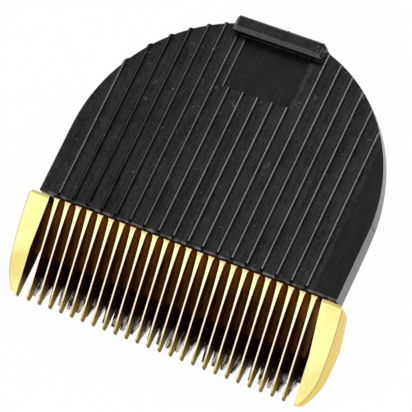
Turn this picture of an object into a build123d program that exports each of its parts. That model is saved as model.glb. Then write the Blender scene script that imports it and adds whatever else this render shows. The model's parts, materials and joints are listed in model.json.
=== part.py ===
from build123d import *
import math
import os

# Hair clipper blade block: ridged cover, fixed comb, moving blade and the frame behind them.
# Millimetres. X across the teeth, +Y from the tooth tips to the arch, +Z out of the ridged face.
# The origin is the bottom centre of the whole block.

# Overall
LENGTH = 43.2              # tooth tips to the top of the arch
COVER_LENGTH = 30.5        # front edge of the cover to the top of the arch
COVER_WIDTH = 42.4
CREST_Z = 11.0             # height of the ridge crests above the back
OVER = 1.0                 # cutters run this far past what they cut
ROUNDING = 1e-6            # lets a whole number of teeth count as whole

# Cover
RIB_COUNT = 18
RIB_PITCH = 2.08
RIB_OFFSET = -0.70         # middle of the rib field from the middle of the cover
RIB_HEIGHT = 0.40
RIB_BASE = 0.72
RIB_CREST = 0.34
RIB_FLANK = 0.24           # straight part of a rib's side
RIB_SINK = 0.1             # ribs start this far inside the skin
RIB_INSET = 0.04           # ribs stop this far inside the outline of the arch
RIB_SETBACK = 0.45         # ribs stop this far behind the front edge
PLATE = 1.4                # cover skin between the ribs
RIM_DEPTH = 2.4            # crest to the lower edge of the side wall round the arch
RIM_FRONT = 3.1            # and beside the comb
RIM_STEP = 2.0             # the lower edge starts to rise this far in front of the arch
RIM_RISE = 8.0             # length of that slope
RIM_WALL = 1.4
EDGE_BEVEL = 0.1           # upper edge of the side wall
RECESS_WIDTH = 9.3
RECESS_LENGTH = 7.1
RECESS_DEPTH = 0.75        # below the skin between the ribs
LEDGE_WIDTH = 12.7
LEDGE_LENGTH = 2.5         # at its foot
LEDGE_HEIGHT = 1.5         # above the crests
LEDGE_BEVEL = 0.5          # along its front and ends
LEDGE_LEAN = 0.5           # its back leans in by this
LEDGE_BACK = 0.1           # top of the arch to the foot of its back
LEDGE_CORNER = 0.8         # back corners cut off
NOTCH_WIDTH = 0.5
NOTCH_DEPTH = 0.35
FRONT_BEVEL = 0.22

# Fixed comb
TOOTH_PITCH = 1.6
LAND_FLARE = 0.86          # width of a tooth where it leaves the cover
FLARE_LENGTH = 0.4
LAND_ROOT = 0.60           # width where the flare ends
LAND_TIP = 0.20
LAND_TAPER = 6.2           # length over which the land narrows
LAND_HOLLOW = 0.27         # share of the narrowing left halfway along the taper
SHEAR_Z = 4.52             # plane the two blades share
TIP_HEIGHT = 0.90
TIP_ROUND = 0.3            # upper edge of a tip
TIP_BREAK = 0.15           # lower edge of a tip
LAND_LENGTH = 6.6          # lapped flat behind the tips
FLANGE = 2.1
FLANGE_LENGTH = 7.9        # part of the comb under the cover
RELIEF_END = 1.2           # the hollow behind the lapped flat ends this far before the root
ROOT_GAP = 0.30            # dark joint between cover and comb
SLOT_UNDER = 0.3           # the slots run on this far into the flange
GUARD_INSET = 1.7          # side of the cover to the inner edge of a guard
GUARD_GAP = 1.1            # least room from an end tooth's centre to a guard
GUARD_WIDTH = 2.45
GUARD_FLARE = 0.55         # the inner edge moves out by this much at the tip
GUARD_BEND = 6.6           # length over which it does
GUARD_ROOT_DEPTH = 2.6
GUARD_BULGE = 0.52         # outer edge beyond the root corner
GUARD_CORNER = 0.45
GUARD_NOSE = 0.85          # width of the blunt tip
GUARD_TURN = 7.8           # the outer edge starts to curve in here
GUARD_FLAT = 5.1           # underside level with the lapped flat
GUARD_HEEL = 4.2
GUARD_RISE = 0.6
GUARD_FOOT = 0.3           # web that joins a guard to the comb at its root
GUARD_WEB = 0.6

# Moving blade
MOVING_PITCH = 1.31
MOVING_THICK = 0.8
MOVING_SETBACK = 0.9       # moving tips behind the comb tips
MOVING_TOOTH = 2.0
MOVING_ROOT_W = 1.14
MOVING_TIP_W = 0.36
MOVING_PLATE = 11.2        # plate behind the moving teeth
MOVING_EDGE = 1.05         # plate beyond the end teeth, and least room inside the guards
TIP_RELIEF = 0.42          # tips are ground thinner by this
RELIEF_LENGTH = 3.3
RUN_GAP = 0.02             # film between the two blades
STROKE = 1.3               # moving blade to each side

# Drive block on the moving blade
BLOCK_WIDTH = 7.0
BLOCK_LENGTH = 4.5
BLOCK_HEIGHT = 2.6
BLOCK_BEVEL = 0.3
DRIVE_SLOT = 3.0
DRIVE_DEPTH = 2.0
RIVET_R = 0.7
RIVET_X = 2.6
RIVET_LENGTH = 2.1

# Guide plate that presses the moving blade up
GUIDE_HALF = 10.8
GUIDE_FRONT = 6.6          # guide plate in front of the moving blade's rear edge
GUIDE_REAR = 4.4           # and behind it
GUIDE_THICK = 1.5
FENCE = 0.9                # rib behind the moving blade
FENCE_HEIGHT = 0.7
FENCE_INSET = 1.5
WINDOW_PLAY = 0.4          # beside the drive block at the ends of its stroke
FIT = 0.05
EAR = 0.8
EAR_LENGTH = 1.5
TONGUE_WIDTH = 2.6
LIFT = 0.8                 # the lever lowers the guide plate by this

# Rear frame
RAIL_IN = 11.0
RAIL_OUT = 17.0
FRAME_REAR = 17.0          # y of the back of the bridge
BRIDGE = 7.5
ARM_TOP = 2.7
ARM_REACH = 13.0           # the arms run forward to this y
TONGUE_REACH = 3.0
TONGUE_HALF = 4.0
TONGUE_THICK = 1.6
RAIL_BACK = 0.5            # rails start this far behind the moving blade
ARM_INSET = 0.5
RIM_PLAY = 0.7             # between the frame and the cover's side wall
BAY_WALL = 2.0             # around the lever's bay in the bridge
BAY_FLOOR = 0.6            # above the lever's axis
GROOVE_PLAY = 0.4          # below the guide plate's ears when it is lowered
SOCKET_R = 1.5
SOCKET_X = 14.0
SOCKET_DEPTH = 3.5
SOCKET_Y = 5.0

# Screws
COMB_SCREW_X = 14.0
COMB_SCREW_BACK = 4.4      # behind the front edge of the cover
BOSS_R = 1.6
PILOT_R = 0.75
HEAD_R = 1.5
HEAD_H = 0.8
HEAD_ROUND = 0.35
HEAD_PLAY = 0.3
SHANK_PLAY = 0.2
SKIN_LEFT = 0.7            # cover left above a screw hole
BOSS_BITE = 0.5            # a comb screw goes this far past the flange
LUG = 1.5
FRAME_SCREW_X = 12.0
FRAME_SCREW_Y = 11.6
BIG_BOSS_R = 2.1
BIG_BOSS = 4.0
SEAT = 2.2                 # depth of the screw seat in the frame
SCREW_GRIP = 6.0
DRIVE_R = 0.62             # cross recess of the screws
DRIVE_W = 0.3

# Springs
WIRE_R = 0.35
SPRING_X = 8.4
SPRING_HOLE = 3.0
SPRING_TAIL = 4.6
SPRING_BEND = 1.2
SPRING_SEAT = 0.5          # end of the tail to the end of its hole
SPRING_STRAIGHT = 2.5      # straight wire in front of the bridge
SPRING_SLOPE = 1.2         # the slope ends this far behind the guide plate
SPRING_NOSE = 1.5          # nose to the guide plate's front edge

# Cleaning lever
LEVER_Y = 2.6
LEVER_Z = 5.5
PIN_R = 0.8
PIN_SEAT = 2.5             # pin in each rail
HUB_R = 1.45
HUB_HALF = 7.0
CAM_R = 2.2
CAM_GAP = 0.04
LEVER_ANGLE = 60.0         # swing of the lever in degrees
TAB_HALF = 3.6
TAB_LENGTH = 5.4
TAB_THICK = 1.1
TAB_ROUND = 1.2
GRIP_COUNT = 3
GRIP_PITCH = 0.9
GRIP_WIDTH = 0.4
GRIP_HEIGHT = 0.25
GRIP_INSET = 1.4
CAM_SIDE = 0.2             # a cam is wider than its tongue by this

# Values that follow from the sizes above
y_tip = -LENGTH / 2
y_arch = LENGTH / 2
y_front = y_arch - COVER_LENGTH
half = COVER_WIDTH / 2
y_centre = y_arch - half
floor_z = CREST_Z - RIB_HEIGHT
under_z = floor_z - PLATE
rim_z = CREST_Z - RIM_DEPTH
y_ledge = y_arch - LEDGE_LENGTH
y_root = y_front - ROOT_GAP
flange_z = under_z - FLANGE
y_flange = y_front + FLANGE_LENGTH
guard_in = half - GUARD_INSET
guard_out = guard_in + GUARD_WIDTH
tooth_count = 1 + math.floor(2 * (guard_in - GUARD_GAP) / TOOTH_PITCH + ROUNDING)
moving_count = 1 + math.floor(2 * (guard_in - MOVING_EDGE) / MOVING_PITCH + ROUNDING)
comb_half = half - RIM_WALL - 2 * FIT
tip_top = SHEAR_Z + TIP_HEIGHT
moving_top = SHEAR_Z - RUN_GAP
moving_z = moving_top - MOVING_THICK
y_moving_tip = y_tip + MOVING_SETBACK
y_moving_root = y_moving_tip + MOVING_TOOTH
y_moving_rear = y_moving_root + MOVING_PLATE
moving_half = (moving_count - 1) / 2 * MOVING_PITCH + MOVING_EDGE
guide_top = moving_z - RUN_GAP
guide_z = guide_top - GUIDE_THICK
y_guide_front = y_moving_rear - GUIDE_FRONT
y_guide_rear = y_moving_rear + GUIDE_REAR
y_block = y_moving_rear - GUIDE_FRONT / 2
y_screw = y_front + COMB_SCREW_BACK
lug_z = flange_z - LUG
cam_throw = LIFT / (2 * math.sin(math.radians(LEVER_ANGLE / 2)))
cam_low = LEVER_Z + LIFT / 2 - CAM_R
tongue_top = cam_low - CAM_GAP
y_bridge = FRAME_REAR - BRIDGE
y_ear = y_guide_rear - EAR_LENGTH


def block(x0, x1, y0, y1, z0, z1):
    """A box given by its limits."""
    return Pos((x0 + x1) / 2, (y0 + y1) / 2, (z0 + z1) / 2) * Box(x1 - x0, y1 - y0, z1 - z0)


def rod_z(x, y, z0, z1, r):
    """An upright cylinder from z0 to z1."""
    return Pos(x, y, (z0 + z1) / 2) * Cylinder(r, z1 - z0)


def rod_x(x0, x1, y, z, r):
    """A cylinder along X."""
    return Pos((x0 + x1) / 2, y, z) * Rot(0, 90, 0) * Cylinder(r, x1 - x0)


def prism_x(points, x0, x1):
    """A (y, z) polygon extruded along X from x0 to x1."""
    wire = Polyline(*[(x0, y, z) for y, z in points], close=True)
    return extrude(make_face(wire), amount=x1 - x0, dir=(1, 0, 0))


def prism_y(points, y0, y1):
    """An (x, z) polygon extruded along Y from y0 to y1."""
    wire = Polyline(*[(x, y0, z) for x, z in points], close=True)
    return extrude(make_face(wire), amount=y1 - y0, dir=(0, 1, 0))


def prism_z(points, z0, z1):
    """An (x, y) polygon extruded upward from z0 to z1."""
    wire = Polyline(*[(x, y, z0) for x, y in points], close=True)
    return extrude(make_face(wire), amount=z1 - z0, dir=(0, 0, 1))


def save(shape, node):
    shape.label = node
    export_step(shape, f"parts/{node}.step")


# Cover
def arch_solid(inset, front, z0, z1):
    """The arched outline, moved in by inset at the sides, as a solid."""
    w = half - inset
    edges = [
        Line((-w, front, z0), (w, front, z0)),
        Line((w, front, z0), (w, y_centre, z0)),
        ThreePointArc((w, y_centre, z0), (0, y_centre + w, z0), (-w, y_centre, z0)),
        Line((-w, y_centre, z0), (-w, front, z0)),
    ]
    return extrude(make_face(edges), amount=z1 - z0, dir=(0, 0, 1))


def rib_x(k):
    return RIB_OFFSET + (k - (RIB_COUNT - 1) / 2) * RIB_PITCH


def make_rib(k):
    """One rounded rib along Y, longer than the cover."""
    x, y = rib_x(k), y_front + RIB_SETBACK
    b, c = RIB_BASE / 2, RIB_CREST / 2
    low, shoulder = floor_z - RIB_SINK, floor_z + RIB_FLANK
    edges = [
        Line((x - b, y, low), (x + b, y, low)),
        Line((x + b, y, low), (x + c, y, shoulder)),
        ThreePointArc((x + c, y, shoulder), (x, y, CREST_Z), (x - c, y, shoulder)),
        Line((x - c, y, shoulder), (x - b, y, low)),
    ]
    return extrude(make_face(edges), amount=COVER_LENGTH, dir=(0, 1, 0))


def make_ledge():
    """Raised bar at the top of the arch: bevelled at the front and ends, leaning in at the back."""
    w, b, c = LEDGE_WIDTH / 2, LEDGE_BEVEL, LEDGE_CORNER
    z0, z1 = floor_z - RECESS_DEPTH, CREST_Z + LEDGE_HEIGHT
    yl, ya = y_ledge, y_arch - LEDGE_BACK
    side = prism_x([(yl, z0), (ya, z0), (ya - LEDGE_LEAN, z1), (yl + b, z1), (yl, z1 - b)], -w, w)
    front = prism_y([(-w, z0), (w, z0), (w, z1 - b), (w - b, z1), (b - w, z1), (-w, z1 - b)], yl, ya)
    plan = prism_z([(-w, yl), (w, yl), (w, ya - c), (w - c, ya), (c - w, ya), (-w, ya - c)], z0, z1)
    return side & front & plan


def make_rim():
    """Side wall below the skin: deeper beside the comb, with a sloping lower edge up to the arch."""
    z_low, y_low = CREST_Z - RIM_FRONT, y_centre - RIM_STEP
    ring = arch_solid(0, y_front, z_low, under_z) - arch_solid(RIM_WALL, y_front - OVER, z_low, under_z)
    below = [(y_low, z_low), (y_low + RIM_RISE, rim_z), (y_arch + OVER, rim_z), (y_arch + OVER, z_low - OVER),
             (y_low, z_low - OVER)]
    return ring - prism_x(below, -half - OVER, half + OVER)


def make_cover():
    skin = arch_solid(0, y_front, under_z, floor_z)
    skin = chamfer(skin.edges().group_by(Axis.Y)[0].group_by(Axis.Z)[-1], FRONT_BEVEL)
    skin = chamfer(skin.edges().group_by(Axis.Z)[-1].filter_by(Axis.X, reverse=True), EDGE_BEVEL)
    rim = make_rim()
    ribs = Part() + [make_rib(k) for k in range(RIB_COUNT)]
    ribs = ribs & arch_solid(RIB_INSET, y_front, under_z, CREST_Z + OVER)
    recess = block(-RECESS_WIDTH / 2, RECESS_WIDTH / 2, y_ledge - RECESS_LENGTH, y_ledge,
                   floor_z - RECESS_DEPTH, CREST_Z + OVER)
    body = skin + rim + ribs - recess + make_ledge()
    for k in range(RIB_COUNT):
        x = rib_x(k)
        body -= block(x - NOTCH_WIDTH / 2, x + NOTCH_WIDTH / 2, y_front - OVER, y_front + RIB_SETBACK,
                      floor_z - NOTCH_DEPTH, CREST_Z)
    z_hole, z_boss = floor_z - SKIN_LEFT, under_z - BIG_BOSS
    for s in (-1, 1):
        body += rod_z(s * COMB_SCREW_X, y_screw, flange_z, under_z, BOSS_R)
        body -= rod_z(s * COMB_SCREW_X, y_screw, flange_z - OVER, z_hole, PILOT_R)
        body += rod_z(s * FRAME_SCREW_X, FRAME_SCREW_Y, z_boss, under_z, BIG_BOSS_R)
        body -= rod_z(s * FRAME_SCREW_X, FRAME_SCREW_Y, z_boss - OVER, z_hole, PILOT_R)
    return body


# Fixed comb
def tooth_x(k):
    return (k - (tooth_count - 1) / 2) * TOOTH_PITCH


def comb_profile():
    """Side profile of the comb: sloping top, rounded tip, lapped flat, relief and flange."""
    slope = (floor_z - tip_top) / (y_root - y_tip)
    y_land = y_tip + LAND_LENGTH
    return [
        (y_root, floor_z),
        (y_tip + TIP_ROUND, tip_top + TIP_ROUND * slope),
        (y_tip, tip_top - TIP_ROUND),
        (y_tip, SHEAR_Z + TIP_BREAK),
        (y_tip + TIP_BREAK, SHEAR_Z),
        (y_land, SHEAR_Z),
        (y_root - RELIEF_END, flange_z),
        (y_flange, flange_z),
        (y_flange, under_z),
        (y_root, under_z),
    ]


def tooth_side(x, way):
    """One side of the tooth at x from beyond its tip to the flange; way is 1 for its right side."""
    tip, root, flare = way * LAND_TIP / 2, way * LAND_ROOT / 2, way * LAND_FLARE / 2
    hollow = tip + (root - tip) * LAND_HOLLOW
    y_wide = y_root - FLARE_LENGTH
    y_thin = y_wide - LAND_TAPER
    return [
        Line((x + tip, y_tip - OVER), (x + tip, y_thin)),
        ThreePointArc((x + tip, y_thin), (x + hollow, (y_thin + y_wide) / 2), (x + root, y_wide)),
        Line((x + root, y_wide), (x + flare, y_root)),
        Line((x + flare, y_root), (x + flare, y_root + SLOT_UNDER)),
    ]


def cut_from(edges):
    return extrude(make_face(edges), amount=CREST_Z, dir=(0, 0, 1))


def slot_cut(k):
    """The gap between teeth k and k + 1."""
    left, right = tooth_side(tooth_x(k), 1), tooth_side(tooth_x(k + 1), -1)
    return cut_from(left + right + [Line(left[0] @ 0, right[0] @ 0), Line(left[-1] @ 1, right[-1] @ 1)])


def end_cut(s):
    """The room between an end tooth and its guard, and all beyond it."""
    side = tooth_side(s * tooth_x(tooth_count - 1), s)
    x_out, x_foot = s * (guard_in + OVER), s * (guard_in - GUARD_FOOT)
    y_end = y_root + SLOT_UNDER
    rest = Polyline(side[-1] @ 1, (x_foot, y_end), (x_foot, y_root), (x_out, y_root), (x_out, y_tip - OVER),
                    side[0] @ 0)
    return cut_from(side + rest.edges())


def make_guard(s):
    """End guard: bent inside edge, outer edge that bows out and curves in to a blunt tip."""
    x_in, x_tip = s * guard_in, s * (guard_in + GUARD_FLARE)
    x_out, x_bow = s * guard_out, s * (guard_out + GUARD_BULGE)
    x_corner, x_turn = s * (guard_out + GUARD_BULGE * 0.8), s * (guard_out + GUARD_BULGE * 0.67)
    x_foot, x_nose = s * (guard_in - GUARD_FOOT), x_tip + s * GUARD_NOSE
    y_bend, y_web, y_corner = y_root - GUARD_BEND, y_root - GUARD_WEB, y_root - GUARD_CORNER
    y_turn, y_nose = y_root - GUARD_TURN, y_tip + GUARD_NOSE / 2
    y_bow = (y_corner + y_turn) / 2
    share = 0.62           # how far along the last curve its middle point lies
    middle = (x_nose + (x_turn - x_nose) * share, y_turn + (y_nose - y_turn) * share)
    edges = [
        Line((x_foot, y_root), (x_out, y_root)),
        Line((x_out, y_root), (x_corner, y_corner)),
        ThreePointArc((x_corner, y_corner), (x_bow, y_bow), (x_turn, y_turn)),
        ThreePointArc((x_turn, y_turn), middle, (x_nose, y_nose)),
        ThreePointArc((x_nose, y_nose), ((x_nose + x_tip) / 2, y_tip + GUARD_NOSE / 8), (x_tip, y_tip)),
        Line((x_tip, y_tip), (x_tip, y_bend)),
        Line((x_tip, y_bend), (x_in, y_web)),
        Line((x_in, y_web), (x_foot, y_web)),
        Line((x_foot, y_web), (x_foot, y_root)),
    ]
    side = prism_x([(y_root, floor_z), (y_tip, tip_top), (y_tip, SHEAR_Z), (y_tip + GUARD_FLAT, SHEAR_Z),
                    (y_root - GUARD_HEEL, SHEAR_Z + GUARD_RISE), (y_root, floor_z - GUARD_ROOT_DEPTH)],
                   -guard_out - OVER, guard_out + OVER)
    return cut_from(edges) & side


def make_comb():
    body = prism_x(comb_profile(), -comb_half, comb_half)
    body = body - [slot_cut(k) for k in range(tooth_count - 1)] - [end_cut(s) for s in (-1, 1)]
    body = body + make_guard(-1) + make_guard(1)
    for s in (-1, 1):
        body -= rod_z(s * COMB_SCREW_X, y_screw, flange_z - OVER, under_z + OVER, BOSS_R + FIT)
    return body


# Moving blade and drive block
def make_moving_blade():
    plan = block(-moving_half, moving_half, y_moving_root, y_moving_rear, moving_z, moving_top)
    teeth = []
    for k in range(moving_count):
        x = (k - (moving_count - 1) / 2) * MOVING_PITCH
        r, t = MOVING_ROOT_W / 2, MOVING_TIP_W / 2
        teeth.append(prism_z([(x - r, y_moving_root), (x - t, y_moving_tip), (x + t, y_moving_tip),
                              (x + r, y_moving_root)], moving_z, moving_top))
    blade = plan + teeth
    y_relief = y_moving_tip + RELIEF_LENGTH
    below, wide = moving_z - OVER, moving_half + OVER
    blade -= prism_x([(y_moving_tip, below), (y_moving_tip, moving_z + TIP_RELIEF), (y_relief, moving_z),
                      (y_relief, below)], -wide, wide)
    for s in (-1, 1):
        blade -= rod_z(s * RIVET_X, y_block, moving_z - OVER, moving_top + OVER, RIVET_R)
    return blade


def make_drive_block():
    body = block(-BLOCK_WIDTH / 2, BLOCK_WIDTH / 2, y_block - BLOCK_LENGTH / 2, y_block + BLOCK_LENGTH / 2,
                 moving_z - BLOCK_HEIGHT, moving_z)
    body = chamfer(body.edges().group_by(Axis.Z)[0], BLOCK_BEVEL)
    body -= block(-DRIVE_SLOT / 2, DRIVE_SLOT / 2, y_block - BLOCK_LENGTH, y_block + BLOCK_LENGTH,
                  moving_z - BLOCK_HEIGHT - OVER, moving_z - BLOCK_HEIGHT + DRIVE_DEPTH)
    for s in (-1, 1):
        body -= rod_z(s * RIVET_X, y_block, moving_top - RIVET_LENGTH, moving_top, RIVET_R)
    return body


def make_rivets():
    return Compound(children=[rod_z(s * RIVET_X, y_block, moving_top - RIVET_LENGTH, moving_top, RIVET_R)
                              for s in (-1, 1)])


# Guide plate
def make_guide_plate():
    body = block(-GUIDE_HALF, GUIDE_HALF, y_guide_front, y_guide_rear, guide_z, guide_top)
    window = BLOCK_WIDTH / 2 + STROKE + WINDOW_PLAY
    body -= block(-window, window, y_block - BLOCK_LENGTH / 2 - FIT, y_block + BLOCK_LENGTH / 2 + FIT,
                  guide_z - OVER, guide_top + OVER)
    fence, y_fence = GUIDE_HALF - FENCE_INSET, y_moving_rear + FIT
    body += block(-fence, fence, y_fence, y_fence + FENCE, guide_top, guide_top + FENCE_HEIGHT)
    for s in (-1, 1):
        ear = sorted((s * GUIDE_HALF, s * (GUIDE_HALF + EAR)))
        body += block(ear[0], ear[1], y_ear, y_guide_rear, guide_z, guide_top)
        out = sorted((s * (HUB_HALF - CAM_SIDE), s * (HUB_HALF - CAM_SIDE - TONGUE_WIDTH)))
        body += block(out[0], out[1], y_guide_rear, LEVER_Y + CAM_R, guide_z, min(tongue_top, guide_top))
    return body


# Rear frame
def make_rear_frame():
    body = Part()
    y_rail = y_moving_rear + RAIL_BACK
    for s in (-1, 1):
        x0, x1 = sorted((s * RAIL_IN, s * RAIL_OUT))
        a0, a1 = sorted((s * (RAIL_IN + ARM_INSET), s * RAIL_OUT))
        body += block(x0, x1, y_rail, y_bridge, 0, lug_z)
        body += block(x0, x1, y_flange + FIT, y_bridge, lug_z, under_z)
        body += block(x0, x1, y_rail, y_flange + FIT, lug_z, flange_z)
        body += block(a0, a1, -ARM_REACH, y_rail, 0, ARM_TOP)
    body += block(-RAIL_OUT, RAIL_OUT, y_bridge, FRAME_REAR, 0, under_z)
    body = body & arch_solid(RIM_WALL + RIM_PLAY, y_tip, -OVER, CREST_Z)
    bay = RAIL_IN - BAY_WALL
    body = body - block(-bay, bay, y_bridge - OVER, FRAME_REAR - BAY_WALL, LEVER_Z + BAY_FLOOR, under_z + OVER)
    body += block(-TONGUE_HALF, TONGUE_HALF, FRAME_REAR - OVER, FRAME_REAR + TONGUE_REACH, 0, TONGUE_THICK)
    z_groove = guide_z - LIFT - GROOVE_PLAY
    for s in (-1, 1):
        groove = sorted((s * (RAIL_IN - OVER), s * (GUIDE_HALF + EAR + FIT)))
        body -= block(groove[0], groove[1], y_ear - FIT, y_guide_rear + FIT, z_groove, lug_z)
        body -= rod_z(s * COMB_SCREW_X, y_screw, lug_z - OVER, flange_z + OVER, PILOT_R + SHANK_PLAY)
        body -= rod_z(s * COMB_SCREW_X, y_screw, -OVER, lug_z, HEAD_R + HEAD_PLAY)
        body -= rod_z(s * FRAME_SCREW_X, FRAME_SCREW_Y, under_z - BIG_BOSS, under_z + OVER, BIG_BOSS_R + FIT)
        body -= rod_z(s * FRAME_SCREW_X, FRAME_SCREW_Y, -OVER, under_z, PILOT_R + SHANK_PLAY)
        body -= rod_z(s * FRAME_SCREW_X, FRAME_SCREW_Y, -OVER, SEAT, HEAD_R + HEAD_PLAY)
        body -= rod_z(s * SOCKET_X, SOCKET_Y, -OVER, SOCKET_DEPTH, SOCKET_R)
        hole = Cylinder(WIRE_R, SPRING_HOLE + OVER)
        body -= Pos(s * SPRING_X, y_bridge + (SPRING_HOLE - OVER) / 2, SPRING_TAIL) * Rot(90, 0, 0) * hole
    body -= rod_x(-RAIL_IN - PIN_SEAT, RAIL_IN + PIN_SEAT, LEVER_Y, LEVER_Z, PIN_R)
    return body


# Screws
def make_screw(x, y, seat, length):
    """A pan-head screw pointing up, its head below the seat, with a cross recess."""
    body = rod_z(x, y, seat - HEAD_H, seat, HEAD_R)
    body = fillet(body.edges().group_by(Axis.Z)[0], HEAD_ROUND)
    body += rod_z(x, y, seat, seat + length, PILOT_R)
    for w, d in ((DRIVE_R, DRIVE_W), (DRIVE_W, DRIVE_R)):
        body -= block(x - w, x + w, y - d, y + d, seat - HEAD_H - OVER, seat - HEAD_H / 2)
    return body


def make_comb_screws():
    length = LUG + FLANGE + BOSS_BITE
    return Compound(children=[make_screw(s * COMB_SCREW_X, y_screw, lug_z, length) for s in (-1, 1)])


def make_frame_screws():
    return Compound(children=[make_screw(s * FRAME_SCREW_X, FRAME_SCREW_Y, SEAT, SCREW_GRIP) for s in (-1, 1)])


# Springs
def make_spring(s):
    """Bent wire: its tail sits in the bridge and its nose presses the guide plate up."""
    x = s * SPRING_X
    nose = guide_z - WIRE_R
    path = FilletPolyline((x, y_bridge + SPRING_HOLE - SPRING_SEAT, SPRING_TAIL),
                          (x, y_bridge - SPRING_STRAIGHT, SPRING_TAIL), (x, y_guide_rear + SPRING_SLOPE, nose),
                          (x, y_guide_front + SPRING_NOSE, nose), radius=SPRING_BEND)
    start = Plane(origin=path @ 0, z_dir=path % 0)
    return sweep(start * Circle(WIRE_R), path=path)


# Cleaning lever
def make_lever():
    a = math.radians(LEVER_ANGLE / 2)
    y_cam, z_cam = LEVER_Y + cam_throw * math.cos(a), LEVER_Z + cam_throw * math.sin(a)
    body = rod_x(-HUB_HALF, HUB_HALF, LEVER_Y, LEVER_Z, HUB_R)
    for s in (-1, 1):
        x0, x1 = sorted((s * HUB_HALF, s * (HUB_HALF - TONGUE_WIDTH - CAM_SIDE)))
        body += rod_x(x0, x1, y_cam, z_cam, CAM_R)
    z0, z1, y_end = LEVER_Z - TAB_THICK / 2, LEVER_Z + TAB_THICK / 2, LEVER_Y + TAB_LENGTH
    tab = block(-TAB_HALF, TAB_HALF, LEVER_Y, y_end, z0, z1)
    body += fillet(tab.edges().filter_by(Axis.Z).group_by(Axis.Y)[-1], TAB_ROUND)
    grip = TAB_HALF - GRIP_INSET
    for k in range(GRIP_COUNT):
        y = y_end - (k + 1) * GRIP_PITCH
        body += block(-grip, grip, y - GRIP_WIDTH / 2, y + GRIP_WIDTH / 2, z0 - GRIP_HEIGHT, LEVER_Z)
    body -= rod_x(-HUB_HALF - OVER, HUB_HALF + OVER, LEVER_Y, LEVER_Z, PIN_R + FIT)
    return body


def make_lever_pin():
    return rod_x(-RAIL_IN - PIN_SEAT, RAIL_IN + PIN_SEAT, LEVER_Y, LEVER_Z, PIN_R)


os.makedirs("parts", exist_ok=True)
save(make_cover(), "cover")
save(make_comb(), "comb")
save(make_moving_blade(), "moving_blade")
save(make_drive_block(), "drive_block")
save(make_rivets(), "drive_rivets")
save(make_guide_plate(), "guide_plate")
save(make_rear_frame(), "rear_frame")
save(make_comb_screws(), "comb_screws")
save(make_frame_screws(), "frame_screws")
save(make_spring(-1), "spring_left")
save(make_spring(1), "spring_right")
save(make_lever(), "lever")
save(make_lever_pin(), "lever_pin")
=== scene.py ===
# %% [markdown]
# # A hair clipper blade block
# The block is a ridged charcoal cover with a gold-coloured comb in front of it and a steel cutter behind the
# comb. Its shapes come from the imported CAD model, one node for each piece. They could be modelled again here, but
# loading them keeps their exact sizes and joints, so this lesson adds only surfaces, light and a camera.

# %% Load the frame
import json
import bpy
from mathutils import Matrix, Vector


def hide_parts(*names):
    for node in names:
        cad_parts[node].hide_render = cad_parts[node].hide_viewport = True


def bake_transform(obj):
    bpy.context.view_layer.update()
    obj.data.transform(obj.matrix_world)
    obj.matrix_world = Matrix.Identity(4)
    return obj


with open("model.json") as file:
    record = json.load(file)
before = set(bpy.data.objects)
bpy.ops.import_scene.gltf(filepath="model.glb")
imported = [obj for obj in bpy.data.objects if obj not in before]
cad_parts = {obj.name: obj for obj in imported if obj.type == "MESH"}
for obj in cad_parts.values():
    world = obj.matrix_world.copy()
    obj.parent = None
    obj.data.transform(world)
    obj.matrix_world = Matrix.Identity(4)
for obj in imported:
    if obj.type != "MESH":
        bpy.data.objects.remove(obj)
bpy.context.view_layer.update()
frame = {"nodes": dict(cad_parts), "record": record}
nodes = frame["nodes"]
print("loaded", len(nodes), "nodes")

# %% [markdown]
# ## Writing shaders as sums
# A surface is a small calculation made at every point. It could be wired up by hand in the shader editor. Wrapping
# a node's socket in a class lets it be written as ordinary Python arithmetic instead, so that "noise * 0.2 + 0.3"
# makes the two maths nodes it needs and stays easy to read.


# %% A wrapper for shader sockets
class Wire:
    """One value in a material's node tree."""

    def __init__(self, tree, socket=None):
        self.tree, self.socket = tree, socket

    def node(self, kind, settings=None, inputs=None, out=0):
        made = self.tree.nodes.new(kind)
        for key, value in (settings or {}).items():
            setattr(made, key, value)
        for key, value in (inputs or {}).items():
            if isinstance(value, Wire):
                self.tree.links.new(value.socket, made.inputs[key])
            else:
                made.inputs[key].default_value = value
        return Wire(self.tree, made.outputs[out] if made.outputs else None)

    def maths(self, operation, a, b=0.0, clamp=False):
        return self.node("ShaderNodeMath", {"operation": operation, "use_clamp": clamp}, {0: a, 1: b})

    def __add__(self, other):
        return self.maths("ADD", self, other)

    def __sub__(self, other):
        return self.maths("SUBTRACT", self, other)

    def __rsub__(self, other):
        return self.maths("SUBTRACT", other, self)

    def __mul__(self, other):
        return self.maths("MULTIPLY", self, other)

    def __truediv__(self, other):
        return self.maths("DIVIDE", self, other)

    def __pow__(self, other):
        return self.maths("POWER", self, other)

    def step(self, low, high):
        """0 below low, 1 above high, smooth between."""
        return self.node("ShaderNodeMapRange", {"interpolation_type": "SMOOTHSTEP"},
                         {"Value": self, "From Min": low, "From Max": high})

    def fall(self, low, high):
        """1 below low, 0 above high, smooth between."""
        return 1.0 - self.step(low, high)

    def mix(self, a, b):
        """Colour a where this value is 0 and b where it is 1; 6, 7 and 2 are the node's colour sockets."""
        return self.node("ShaderNodeMix", {"data_type": "RGBA"}, {"Factor": self, 6: a, 7: b}, out=2)


print("made the class", Wire.__name__)

# %% [markdown]
# ## Tools for materials
# Every material here starts from a place on its piece in millimetres, some noise, and one shader. Pictures of the
# real surface could be wrapped round the pieces, but noise has no seams and stays sharp at any distance. These
# short functions make the three, so that later cells only say what is special about each surface.

# %% Places, noise and shaders
MM = 1000.0                # millimetres in a metre


def rgb(red, green, blue):
    return red, green, blue, 1.0


def place(wire, stretch=(1, 1, 1)):
    """A point's place on its own piece, in millimetres, stretched per axis."""
    point = wire.node("ShaderNodeTexCoord", out="Object")
    return wire.node("ShaderNodeVectorMath", {"operation": "MULTIPLY"},
                     {0: point, 1: tuple(MM * s for s in stretch)})


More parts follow.
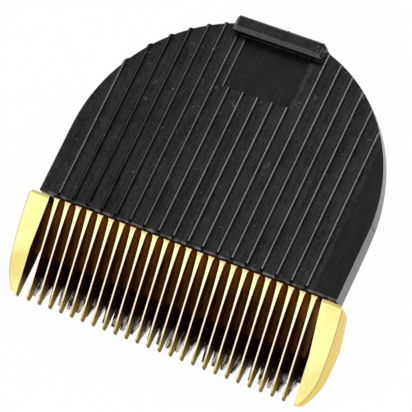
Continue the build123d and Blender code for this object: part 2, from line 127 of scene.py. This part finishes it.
def noise(wire, scale, detail=2.0, stretch=(1, 1, 1)):
    return wire.node("ShaderNodeTexNoise",
                     inputs={"Vector": place(wire, stretch), "Scale": scale, "Detail": detail})


def surface(name, metallic=0.0, ior=1.5):
    """A new material: its wire and its shader node."""
    material = bpy.data.materials.new(name)
    material.use_nodes = True
    shader = material.node_tree.nodes["Principled BSDF"]
    shader.inputs["Metallic"].default_value = metallic
    shader.inputs["IOR"].default_value = ior
    return material, Wire(material.node_tree), shader


def feed(wire, shader, **values):
    """Links values to the shader's inputs; an underscore stands for a space."""
    for key, value in values.items():
        wire.tree.links.new(value.socket, shader.inputs[key.replace("_", " ")])


def bump(wire, height, strength, distance):
    return wire.node("ShaderNodeBump", inputs={"Height": height, "Strength": strength, "Distance": distance})


print("made the material tools")

# %% [markdown]
# ## Masks
# A mask is a value that is 1 where something lies and 0 elsewhere. It could be painted on the mesh, but one that is
# calculated from a point's place doesn't depend on the mesh. The last two functions make marks of their own: short
# curved hairs and round specks, as handling and dust leave them.


# %% Masks from position
def axes(wire, point):
    """The three parts of a vector as separate values."""
    split = wire.node("ShaderNodeSeparateXYZ", inputs={0: point})
    return [Wire(wire.tree, split.socket.node.outputs[i]) for i in range(3)]


def size_of(value):
    """A value without its sign."""
    return value.maths("ABSOLUTE", value)


def larger(a, b):
    return a.maths("MAXIMUM", a, b)


def band(value, low, high, soft):
    """1 between low and high, fading over soft on both sides."""
    return value.step(low - soft, low) * value.fall(high, high + soft)


def hairs(wire, scale, width, keep):
    """Short curved marks: a thin level line of one noise, kept only where a second noise is high."""
    line = size_of(noise(wire, scale, 1.0) - 0.5).fall(width * 0.4, width)
    return line * noise(wire, scale * 0.8, 1.0, (1.1, 0.9, 1.3)).step(keep, keep + 0.04)


def specks(wire, scale, radius, keep):
    """Round dots, one in some of the cells of a grid of random points."""
    cell = wire.node("ShaderNodeTexVoronoi", inputs={"Vector": place(wire), "Scale": scale})
    chance = Wire(wire.tree, cell.socket.node.outputs["Color"])
    red = wire.node("ShaderNodeSeparateColor", inputs={0: chance})
    return cell.fall(radius * 0.5, radius) * red.step(keep, keep + 0.02)


print("made the mask tools")

# %% [markdown]
# ## Charcoal cover
# The real cover is moulded from a hard plastic with a fine spark texture. It is one moulding, but its parts look
# different: rib crests carry a painted highlight, rib feet a painted shadow, the thumb recess is smooth and the side
# wall is glossy.
# Each could have a material of its own, but then every border would be a hard line. Here each is found from where a
# point lies, so one material dresses them all and fades from one to the next.

# %% Masks of the cover
RIB_OFFSET, RIB_PITCH = -0.70, 2.08
SKIN_Z, CREST_Z = 10.6, 11.0            # the flats between the ribs, and the tops of the ribs
FIELD_END = 17.7                        # the cover is plain to the right of this
RECESS_HALF, RECESS_FRONT = 4.65, 12.0
LEDGE_HALF, LEDGE_FRONT = 6.35, 19.1

cover_plastic, w, s = surface("cover_plastic", ior=1.33)
s.inputs["Coat Roughness"].default_value = 0.24
s.inputs["Coat IOR"].default_value = 1.56
x, y, z = axes(w, place(w))
facing = axes(w, w.node("ShaderNodeNewGeometry", out="Normal"))
upright = size_of(facing[2]).step(0.35, 0.75)
from_rib = (w.maths("FRACT", (x - RIB_OFFSET) / RIB_PITCH) - 0.5) * RIB_PITCH
outside = z.step(SKIN_Z - 0.10, SKIN_Z - 0.02)
in_field = x.fall(FIELD_END - 0.1, FIELD_END + 0.2) * outside * z.fall(CREST_Z + 0.02, CREST_Z + 0.06)
plain = x.step(FIELD_END, FIELD_END + 0.6) * upright
thumb = size_of(x).fall(RECESS_HALF + 0.1, RECESS_HALF + 0.3)
thumb = thumb * band(y, RECESS_FRONT - 0.2, LEDGE_FRONT + 0.1, 0.1)
sunk = thumb * z.fall(SKIN_Z - 0.06, SKIN_Z - 0.01)
wall = (1.0 - upright) * z.fall(SKIN_Z - 0.12, SKIN_Z + 0.02) * (1.0 - thumb)
print("cover masks ready, rib pitch", RIB_PITCH, "mm")

# %% [markdown]
# ## Ledge and recess
# A raised ledge closes the thumb recess at the top of the arch. Its front and its foot get painted shadow, and its
# sloping edge gets a painted highlight. Thin pale lines run along the edges of ledge and recess, and most of them are
# painted highlights. The lines could be modelled, but they are so thin that narrow masks do as well.

# %% Ledge and recess edges
LEDGE_TOP, LEDGE_BACK = 12.5, 21.0

at_ledge = y.step(LEDGE_FRONT - 0.15, LEDGE_FRONT - 0.05)
at_ledge = at_ledge * size_of(x).fall(LEDGE_HALF + 0.07, LEDGE_HALF + 0.15)
front = at_ledge * facing[1].fall(-0.97, -0.85)
# A thin pale line low on the ledge's front.
low_front_line = front * band(z, SKIN_Z + 0.06, SKIN_Z + 0.20, 0.05)
slope = at_ledge * band(facing[1], -0.80, -0.60, 0.1)
# Painted shadow at the foot of the ledge, reaching over the back of the recess.
ledge_foot_shadow = band(y, LEDGE_FRONT - 0.35, LEDGE_FRONT, 0.35) * z.fall(CREST_Z, CREST_Z + 0.1)
ledge_foot_shadow = ledge_foot_shadow * size_of(x).fall(LEDGE_HALF - 0.15, LEDGE_HALF + 0.25)
# Painted highlight along the ledge's back edge.
back_edge_highlight = at_ledge * band(y, LEDGE_BACK - 0.14, LEDGE_BACK, 0.05)
back_edge_highlight = back_edge_highlight * z.step(LEDGE_TOP - 0.10, LEDGE_TOP - 0.04)
# Painted highlight along the recess's left edge.
left_edge_highlight = band(x, -RECESS_HALF - 0.15, -RECESS_HALF - 0.01, 0.04) * outside
left_edge_highlight = left_edge_highlight * band(y, RECESS_FRONT, LEDGE_FRONT - 0.6, 0.2)
# A soft painted highlight beside the recess's right edge.
right_edge_highlight = band(x, RECESS_HALF + 0.05, RECESS_HALF + 0.50, 0.15) * outside
right_edge_highlight = right_edge_highlight * band(y, RECESS_FRONT + 0.1, LEDGE_FRONT - 0.5, 0.2)
print("ledge masks ready")

# %% [markdown]
# ## Ribs: flow marks, dirt, painted highlight and painted shade
# The moulding isn't one even grey: it has faint flow marks along the ribs. The crests of the ribs on the right carry
# a painted highlight. Those on the left, apart from the first, are painted dark where they catch no light. A painted
# shadow runs along the right foot of each rib, and a faint painted sheen lies to its left. Old dirt sits on and
# beside the ribs near the comb. All this could be painted by hand. Stretched noise makes the marks more quickly, and
# masks say where they lie.

# %% Grain and ribs
FIRST_RIB_END = -17.2      # only the first rib lies to the left of this

flow = noise(w, 0.11, 3.0)
streak = noise(w, 2.2, 3.0, (1.0, 0.05, 1.0))
mottle = noise(w, 0.85, 3.0, (1.0, 0.55, 1.0))
grain = noise(w, 4.0, 2.0)
smudge = noise(w, 1.1, 3.0, (1.0, 0.3, 1.0))

crest = in_field * z.step(CREST_Z - 0.12, CREST_Z - 0.06) * size_of(from_rib - 0.10).fall(0.05, 0.17)
# Painted shadow along the right foot of each rib.
rib_foot_shadow = in_field * band(from_rib, 0.28, 0.38, 0.08) * (1.0 - right_edge_highlight)
# A faint painted sheen to the left of each rib.
sheen = in_field * band(from_rib, -0.65, -0.40, 0.25)
# How strongly each crest shows its painted highlight: rising to the right, and none on the left apart from the first
# rib.
crest_light = x.step(-16.5, 0.5) + x.fall(FIRST_RIB_END - 0.6, FIRST_RIB_END) * 0.65
past_first = in_field * x.step(FIRST_RIB_END - 0.2, FIRST_RIB_END + 0.2)
# Painted shade on the left crests that catch no light.
unlit_crest_shade = past_first * band(from_rib, -0.18, 0.26, 0.06) * (1.0 - crest_light)
soil = past_first * x.fall(-11.5, -8.5) * y.fall(-3.5, 2.5) * band(from_rib, -0.24, 0.34, 0.16)
soil = soil * smudge.step(0.40, 0.56)
# The painted highlight on the crests, broken up by noise.
crest_highlight = crest * crest_light * (streak * 0.36 + grain * 0.36 + flow * 0.2)
print("ribs ready")

# %% [markdown]
# ## Scuffs and dust
# Handling leaves short bright scuffs and specks of dust, and a patchy painted highlight runs along the front lip.
# They could be drawn one by one. Thin lines and dots taken out of noise give as many as are needed, and the recess,
# the wall and the plain strip stay cleaner.

# %% Marks
FRONT_Y = -8.9             # front edge of the cover

# Painted highlight along the front lip, broken into patches by noise.
lip_highlight = band(y, FRONT_Y - 0.05, FRONT_Y + 0.20, 0.04) * z.step(SKIN_Z - 0.30, SKIN_Z - 0.24)
lip_highlight = lip_highlight * noise(w, 0.9, 2.0, (1.0, 0.2, 0.2)).step(0.35, 0.65)
scuff = at_ledge * x.step(4.6, 5.6) * grain.step(0.48, 0.68)
marks = hairs(w, 0.9, 0.014, 0.66) + hairs(w, 1.7, 0.022, 0.70) * 0.7 + specks(w, 0.9, 0.065, 0.80)
marks = marks * (1.0 - sunk * 0.75) * (1.0 - wall) * (1.0 - plain) + scuff * 0.5
print("marks ready")

# %% [markdown]
# ## Tones of the cover
# The tone is built up in layers, as a painter would do it. First comes the uneven grey with a faint painted sheen,
# then the smooth parts, then painted highlights, dirt and painted shade, and last the scratches and thin pale lines.
# One long sum could give the same, but with one mix for each layer, any of them is easy to change.

# %% Tones of the cover
COAL, CHARCOAL = rgb(0.0022, 0.0022, 0.0023), rgb(0.0185, 0.018, 0.018)
SMOOTH, SHINY = rgb(0.0092, 0.0086, 0.0082), rgb(0.0035, 0.0035, 0.0036)
HIGHLIGHT_GREY, SCRATCH_AND_HIGHLIGHT, BEVEL_HIGHLIGHT = rgb(0.32, 0.32, 0.315), rgb(0.24, 0.24, 0.235), rgb(0.10, 0.10, 0.098)
SHADE_BLACK, BROWN_DIRT = rgb(0.002, 0.002, 0.002), rgb(0.0030, 0.0014, 0.0008)
SHADOW = rgb(0.0005, 0.0005, 0.0005)

shade = (flow * 0.4 + streak * 0.7 + mottle * 0.7 + grain * 0.9 - 0.85 + sheen * 0.12).step(0.15, 0.85)
tone = shade.mix(COAL, CHARCOAL)
tone = sunk.mix(tone, SMOOTH)
tone = (plain * 0.9).mix(tone, SHINY)
# Painted highlights on the rib crests, along the front lip and beside the recess.
tone = (crest_highlight + lip_highlight * 0.6 + left_edge_highlight * 0.35 + right_edge_highlight * 0.05).mix(tone, HIGHLIGHT_GREY)
# Painted shade in the rib feet, at the foot of the ledge and on the unlit crests.
tone = (rib_foot_shadow * 0.35 + ledge_foot_shadow * 0.8 + unlit_crest_shade * 0.6).mix(tone, SHADE_BLACK)
tone = (soil * 0.9).mix(tone, BROWN_DIRT)
# Painted highlight on the ledge's sloping edge.
tone = (slope * (streak * 0.6 + 0.1)).mix(tone, BEVEL_HIGHLIGHT)
tone = (front + sunk * (1.0 - upright)).mix(tone, SHADOW)
# Scratches, hairs and specks, with the painted highlight of the ledge's back edge and the thin pale line low on its
# front.
tone = (marks * 0.6 + low_front_line * 0.4 + back_edge_highlight * 0.35).mix(tone, SCRATCH_AND_HIGHLIGHT)
print("cover tones ready")

# %% [markdown]
# ## Gloss of the cover
# Moulded plastic has a clear gloss over a dull body. Roughness alone could be varied, but a thin coat layer has a
# weight of its own. It can drop in the rib feet, in the other places of painted shade and in the dirt, and rise on
# the side wall while the base stays as it is.

# %% Finish the cover
WALL_LINE_Y = 1.51         # a dull line across the right-hand wall
GRAIN_DEPTH = 0.00004      # metres

dull = larger(larger(rib_foot_shadow * 0.5, ledge_foot_shadow + unlit_crest_shade * 0.8 + soil * 0.7), larger(sunk * (1.0 - upright), front))
wall_line = x.step(15.0, 16.0) * band(y, WALL_LINE_Y - 0.07, WALL_LINE_Y + 0.07, 0.04)
gloss = (shade * 0.30 + 0.12 - plain * 0.14) * (1.0 - dull) * (1.0 - wall) + wall * (1.0 - wall_line * 0.6)
feed(w, s, Base_Color=tone, Roughness=shade * 0.10 + grain * 0.12 + 0.34 - sunk * 0.10,
     Coat_Weight=gloss, Normal=bump(w, mottle * 0.6 + grain * 0.5, 0.22, GRAIN_DEPTH))
print("made", cover_plastic.name)

# %% [markdown]
# ## Gold-coloured comb
# The comb is ground steel with a hard nitride coat. Its sloping tops are polished and bright, and the slot walls
# below them are dull. The faces could be picked one by one and given two materials. It is simpler to calculate how
# far a point lies below the sloping top plane, which tells the walls from the tops.

# %% Places on the comb
TOP_SLOPE, TOP_Z = 0.4177, 14.442       # the plane of the tooth tops
TIP_Y, TOOTH_LENGTH = -21.6, 12.4
INNER_TIP, INNER_ROOT = 20.05, 19.5     # inner edge of a guard at its tip and at its root
BEND_START, BEND_END = 0.468, 0.952     # shares of the tooth length between which that edge bends
WEB_Y = -9.8                            # the web between guard and comb starts here

gold_coat, w, s = surface("gold_coat", ior=1.0)
x, y, z = axes(w, place(w))
below = y * TOP_SLOPE + TOP_Z - z
along = (y - TIP_Y) / TOOTH_LENGTH
bend = w.maths("MULTIPLY", along - BEND_START, 1.0 / (BEND_END - BEND_START), clamp=True)
between = (size_of(x) + bend * (INNER_TIP - INNER_ROOT)).fall(INNER_TIP + 0.02, INNER_TIP + 0.06)
on_guard = 1.0 - between
side = below.step(0.02, 0.09)
web = band(size_of(x), INNER_ROOT - 0.40, INNER_ROOT - 0.02, 0.03) * y.step(WEB_Y - 0.04, WEB_Y + 0.02)
slot = larger(side * between, web)
print("comb masks ready")

# %% [markdown]
# ## Edges of the guards
# A broad guard closes each end of the comb. Its outer edge is two curves, a flat bow beside the teeth and a tighter
# one round the nose, and a thin line of painted shade runs along it. A bevel with a material of its own could show
# that line. The distance from the two curves gives it directly, and the guard's root gets painted shadow from the
# cover in the same way.

# %% Outer edge of the guards
BOW_X, BOW_Y, BOW_CURVE = 22.47, -12.87, 0.0102
NOSE_X, NOSE_Y, NOSE_R = 14.795, -16.81, 7.506
TURN_Y = -17.0             # the two curves meet here

from_bow, from_nose = y - BOW_Y, y - NOSE_Y
bow = BOW_X - from_bow * from_bow * BOW_CURVE
nose = (NOSE_R ** 2 - from_nose * from_nose) ** 0.5 + NOSE_X
outer = nose + (bow - nose) * y.step(TURN_Y - 0.2, TURN_Y + 0.2)
# Painted shade along the guards' outer edges, beside their side faces and at their roots.
edge_shade = (outer - size_of(x)).fall(0.03, 0.14) * (1.0 - side)
edge_shade = larger(edge_shade, band(below, 0.015, 0.09, 0.02)) * on_guard
edge_shade = larger(edge_shade, along.step(0.962, 0.980) * on_guard * 0.75)
print("guard outline ready")

# %% [markdown]
# ## Gold of the guards
# The coat isn't one even colour: it is a pale gold with warmer patches, most of all at the nose of the left guard.
# The colours of a thin film could be simulated, but two golds mixed by a slow noise are easier to steer.

# %% Guards
PALE_GOLD, WARM_GOLD = rgb(0.97, 0.94, 0.40), rgb(0.80, 0.66, 0.21)
SIDE_SHADE_GOLD, EDGE_SHADE_BROWN = rgb(0.82, 0.58, 0.095), rgb(0.33, 0.23, 0.05)

patch = noise(w, 0.30, 2.0, (1.0, 0.6, 1.0))
lines = noise(w, 3.5, 2.0, (1.0, 0.06, 1.0))
smear = noise(w, 0.8, 3.0, (1.0, 0.3, 1.0))
stain = band(y, -18.4, -17.6, 2.6) * x.fall(-5.0, 5.0)
warm = (patch * 1.4 + smear * 0.4 - along * 0.15 - 0.60 + stain * 0.38).step(-0.05, 0.85)
guard = warm.mix(PALE_GOLD, WARM_GOLD)
# The guards' side faces are painted a darker gold, as shade.
guard = (side * on_guard).mix(guard, SIDE_SHADE_GOLD)
# The painted shade of the edges and roots.
guard = (edge_shade * 0.9).mix(guard, EDGE_SHADE_BROWN)
print("guards ready")

# %% [markdown]
# ## Tooth tops
# The tops of the teeth are the same metal. They are darker at the tips, pale with a painted highlight along the thin
# part, yellow where they broaden, and darker again at the roots with painted shadow from the cover. A colour ramp
# could hold these tones, but one mix for each change keeps a tone and its place together.

# %% Tooth tops
TIP_TONE, THIN_HIGHLIGHT, MIDDLE_HIGHLIGHT = rgb(0.60, 0.53, 0.25), rgb(0.87, 0.77, 0.57), rgb(0.91, 0.85, 0.62)
BROAD_TONE, ROOT_SHADOW = rgb(0.95, 0.89, 0.48), rgb(0.66, 0.57, 0.30)

# The pale tones of the thin part and the middle are a painted highlight.
land = along.fall(0.07, 0.18).mix(THIN_HIGHLIGHT, TIP_TONE)
land = along.step(0.45, 0.75).mix(land, MIDDLE_HIGHLIGHT)
land = along.step(0.75, 0.92).mix(land, BROAD_TONE)
# Painted shadow of the cover at the roots.
land = along.step(0.95, 1.0).mix(land, ROOT_SHADOW)
tone = between.mix(guard, land)
print("tooth tops ready")

# %% [markdown]
# ## Slot walls
# The walls between the teeth are painted in shade. They are brown near the roots, black where the dark cutter lies
# under them, more so on the right, and olive at the tips. The web between guard and comb gets the same dark shade.
# The place along the tooth, the depth and some noise choose between the browns and the black.

# %% Slot walls
RED_BROWN, BROWN = rgb(0.055, 0.010, 0.002), rgb(0.55, 0.19, 0.025)
BLACK_SHADE, DARK_SHADE = rgb(0.026, 0.004, 0.0015), rgb(0.010, 0.0015, 0.0005)
TIP_WALL = rgb(0.36, 0.24, 0.05)
LINE_DEPTH = 0.00003       # metres

# Painted shade: the share of lighter brown, more towards the roots and deeper down.
brown_share = (along * 2.2 + below * 0.62 + smear + lines - 1.0).step(2.0, 3.15)
slot_wall = brown_share.mix(RED_BROWN, BROWN)
# Painted shade: black below the line where the cutter lies.
slot_wall = (along - below * 0.02).step(0.41, 0.445).mix(BLACK_SHADE, slot_wall)
# Darker painted shade away from the roots, stronger towards the right, and on the web.
deep_shade = along.fall(0.75, 0.92) * (x.step(-10.0, 16.0) * 0.33 + 0.1)
slot_wall = larger(deep_shade, web).mix(slot_wall, DARK_SHADE)
# The walls turn olive at the tips.
slot_wall = along.fall(0.03, 0.26).mix(slot_wall, TIP_WALL)
tone = slot.mix(tone, slot_wall)
feed(w, s, Base_Color=tone, Roughness=lines * 0.10 + 0.15 + slot * 0.25, Metallic=1.0 - slot * 0.85,
     Normal=bump(w, lines, 0.10, LINE_DEPTH))
print("made", gold_coat.name)

# %% [markdown]
# ## Steel pieces
# Screws, pins and springs are plated or drawn steel. The lines that drawing leaves could be modelled as grooves, but
# they are too fine to be seen one by one. Noise stretched along a wire or a pin gives them to roughness and bump. The
# screws keep an even grain.


# %% Steels
def steel(name, light, dark, rough, stretch):
    material, w, s = surface(name, metallic=1.0)
    lines = noise(w, 4.0, 2.0, stretch)
    cloud = noise(w, 0.4, 2.0)
    feed(w, s, Base_Color=cloud.mix(dark, light), Roughness=lines * 0.16 + rough,
         Normal=bump(w, lines, 0.08, LINE_DEPTH))
    print("made", name)
    return material


screw_steel = steel("screw_steel", rgb(0.62, 0.61, 0.58), rgb(0.45, 0.45, 0.44), 0.26, (1.0, 1.0, 1.0))
spring_wire = steel("spring_wire", rgb(0.60, 0.60, 0.60), rgb(0.42, 0.42, 0.43), 0.20, (1.0, 0.1, 1.0))
pin_steel = steel("pin_steel", rgb(0.66, 0.66, 0.67), rgb(0.50, 0.50, 0.52), 0.18, (0.1, 1.0, 1.0))

# %% [markdown]
# ## Cutter
# The cutter's steel is painted dark, as shade. Only its tips, where it shows between the comb teeth, are lighter and
# carry painted glints. A second material for the tips would need cuts in the mesh, so they are found from their
# place. A noise leaves some of them without a glint.

# %% Cutter steel
SHADED_LOW, SHADED_HIGH = rgb(0.012, 0.008, 0.005), rgb(0.050, 0.040, 0.032)
TIP_STEEL, TIP_GLINT = rgb(0.20, 0.19, 0.16), rgb(0.93, 0.93, 0.90)
# Up to the first value the tips are lighter, with painted glints; from the second the steel is painted in shade.
LIT_TO, SHADED_FROM = -19.2, -17.7      # bare up to the first, oiled from the second

blade_steel, w, s = surface("blade_steel", metallic=1.0)
y = axes(w, place(w))[1]
lines = noise(w, 4.0, 2.0, (1.0, 0.08, 1.0))
cloud = noise(w, 0.9, 3.0)
glint = noise(w, 2.6, 2.0, (1.0, 0.3, 1.0))
# Painted light towards the tips, and painted glints on some of them.
lit_tips = y.fall(LIT_TO, SHADED_FROM)
tip_glints = lit_tips * (glint * 1.6 + cloud * 0.6 - 0.65).step(0.36, 0.62)
tone = cloud.mix(SHADED_LOW, SHADED_HIGH)
tone = (lit_tips * 0.4).mix(tone, TIP_STEEL)
tone = tip_glints.mix(tone, TIP_GLINT)
feed(w, s, Base_Color=tone, Roughness=lines * 0.12 + 0.16, Metallic=1.0 - tip_glints * 0.45,
     Normal=bump(w, lines, 0.08, LINE_DEPTH))
print("made", blade_steel.name)

# %% [markdown]
# ## Plastics behind the cover
# The frame is black and dull, the sliding pieces are pale acetal, which needs no oil, and the lever is grey so that
# it is found easily. Each could have a calculation of its own, but they differ only in tone and roughness, so one
# function makes all three, with a little uneven tone and a fine moulded grain.


# %% Plastics
def plastic(name, light, dark, rough):
    material, w, s = surface(name)
    cloud = noise(w, 0.12, 3.0)
    grain = noise(w, 5.0, 2.0)
    feed(w, s, Base_Color=cloud.mix(dark, light), Roughness=grain * 0.12 + rough,
         Normal=bump(w, grain, 0.12, GRAIN_DEPTH))
    print("made", name)
    return material


frame_plastic = plastic("frame_plastic", rgb(0.032, 0.032, 0.033), rgb(0.020, 0.020, 0.021), 0.42)
acetal = plastic("acetal", rgb(0.66, 0.66, 0.63), rgb(0.56, 0.56, 0.54), 0.36)
lever_plastic = plastic("lever_plastic", rgb(0.19, 0.20, 0.21), rgb(0.13, 0.135, 0.14), 0.40)

# %% [markdown]
# ## Dressing the pieces
# The record names a material slot for every node. Materials could be given one by one, but a loop over the record
# forgets no piece. Blender puts a number after a new material's name when that name is taken, so the table below
# gives the plain names.

# %% Give every node its material
made = {"cover_plastic": cover_plastic, "gold_coat": gold_coat, "blade_steel": blade_steel,
        "screw_steel": screw_steel, "spring_wire": spring_wire, "pin_steel": pin_steel,
        "frame_plastic": frame_plastic, "acetal": acetal, "lever_plastic": lever_plastic}
for part in frame["record"]["subparts"]:
    piece = nodes[part["node"]]
    piece.data.materials.clear()
    piece.data.materials.append(made[part["material_slot"]])
print("dressed", len(nodes), "nodes")

# %% [markdown]
# ## Copies of the springs
# Each wire spring is held in the frame at its tail, and its nose pushes the guide plate up. When the plate goes down,
# the wire bends. Bones could bend it. Here a copy of the wire only takes the place of the rigid one, which is hidden,
# and nothing makes the copy bend. The copy has the same shape at rest as the rigid wire.

for name in ("spring_left", "spring_right"):
    bent = bpy.data.objects.new(name + "_bent", nodes[name].data.copy())
    bpy.context.scene.collection.objects.link(bent)
    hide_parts(name)
    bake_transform(bent)
    print("bends", bent.name)

# %% [markdown]
# ## Floor
# The photo is a shop picture on plain white. A white sheet under strong lamps could give that, but it would throw
# too much light back on the block. This floor glows white only to the camera and in glossy reflections, such as
# that of the side wall, and the small share that the lamps light keeps a faint shadow.

# %% Floor
FLOOR_SIZE, FLOOR_Z = 4.0, -0.00005     # just below the block, so that no faces coincide
FLOOR_GLOW = 0.97                       # the rest is lit by the lamps

bpy.ops.mesh.primitive_plane_add(size=FLOOR_SIZE, location=(0, 0, FLOOR_Z))
floor = bpy.context.object
floor.name = "floor"
white = bpy.data.materials.new("floor_white")
white.use_nodes = True
tree = white.node_tree
tree.nodes.clear()
w = Wire(tree)
paths = w.node("ShaderNodeLightPath").socket.node.outputs
seen = larger(Wire(tree, paths["Is Camera Ray"]), Wire(tree, paths["Is Glossy Ray"]))
seen = larger(seen, Wire(tree, paths["Is Transmission Ray"]))
lit = w.node("ShaderNodeBsdfDiffuse", inputs={"Color": rgb(0.8, 0.8, 0.8)})
glow = w.node("ShaderNodeEmission", inputs={"Color": rgb(1.0, 1.0, 1.0), "Strength": 1.0})
both = w.node("ShaderNodeMixShader", inputs={0: seen * FLOOR_GLOW, 1: lit, 2: glow})
w.node("ShaderNodeOutputMaterial", inputs={"Surface": both})
floor.data.materials.append(white)
print("floor of", FLOOR_SIZE, "m")

# %% [markdown]
# ## World
# A studio's walls give a weak light from all sides. A picture of a room could give it too, but a plain one puts no
# pattern on the metal. It is white only where the camera sees it, so that the dark plastic stays dark.

# %% World
WORLD_LIGHT = 0.22

world = bpy.data.worlds.new("studio")
bpy.context.scene.world = world
world.use_nodes = True
tree = world.node_tree
tree.nodes.clear()
w = Wire(tree)
to_camera = w.node("ShaderNodeLightPath", out="Is Camera Ray")
soft = w.node("ShaderNodeBackground", inputs={"Color": rgb(1.0, 1.0, 1.0), "Strength": WORLD_LIGHT})
backdrop = w.node("ShaderNodeBackground", inputs={"Color": rgb(1.0, 1.0, 1.0), "Strength": 1.0})
both = w.node("ShaderNodeMixShader", inputs={0: to_camera, 1: soft, 2: backdrop})
w.node("ShaderNodeOutputWorld", inputs={"Surface": both})
print("world light", WORLD_LIGHT)

# %% [markdown]
# ## Lamps
# Three soft boxes face the block. Point lamps would be simpler, but they give hard shadows and small glints. One box
# stands high to the left and front, where the sloping comb mirrors it. A second is low in front, where sloping
# edges that face the teeth catch it. The key light stands high behind the arch, a little to the right.


# %% Lamps
def soft_box(name, toward, distance, width, height, power):
    """An area lamp at a distance in the given direction, facing the block."""
    direction = Vector(toward).normalized()
    lamp = bpy.data.lights.new(name, "AREA")
    lamp.shape, lamp.size, lamp.size_y, lamp.energy = "RECTANGLE", width, height, power
    holder = bpy.data.objects.new(name, lamp)
    bpy.context.scene.collection.objects.link(holder)
    holder.location = direction * distance
    holder.rotation_euler = (-direction).to_track_quat("-Z", "Y").to_euler()
    holder.visible_camera = False
    print("lamp", name, power, "W")


soft_box("left_box", (-0.377, -0.502, 0.767), distance=0.7, width=0.5, height=0.5, power=0.8)
soft_box("front_box", (-0.38, -0.90, 0.25), distance=0.7, width=0.5, height=0.25, power=0.6)
soft_box("key_box", (0.35, 0.40, 0.85), distance=0.8, width=0.6, height=0.6, power=5.5)

# %% [markdown]
# ## Camera
# The camera stands where the photo was taken from: towards the right-hand side and a little in front, looking down
# on the ridged face with a long lens. Such a view could be found by trial. Here its place and its three directions
# come from a fit to the photo, so that the render can be laid over it.

# %% Camera
SENSOR_MM = 36.0
FOCAL_PIXELS, PHOTO_PIXELS = 3016.08, 412.0
CAMERA_AT = (0.141556, -0.088488, 0.346736)
CAMERA_RIGHT = Vector((0.868433, 0.423710, -0.257476))
CAMERA_DOWN = Vector((0.321905, -0.876816, -0.357171))
CAMERA_AHEAD = Vector((-0.377096, 0.227296, -0.897850))
NEAREST, FARTHEST = 0.01, 20.0

camera_data = bpy.data.cameras.new("camera")
camera_data.sensor_width = SENSOR_MM
camera_data.lens = SENSOR_MM * FOCAL_PIXELS / PHOTO_PIXELS
camera_data.clip_start, camera_data.clip_end = NEAREST, FARTHEST
camera = bpy.data.objects.new("camera", camera_data)
bpy.context.scene.collection.objects.link(camera)
turn = Matrix((CAMERA_RIGHT, -CAMERA_DOWN, -CAMERA_AHEAD)).transposed().to_4x4()
camera.matrix_world = Matrix.Translation(CAMERA_AT) @ turn
bpy.context.scene.camera = camera
bpy.context.scene.view_settings.view_transform = "Standard"
print("lens", round(camera_data.lens, 1), "mm")
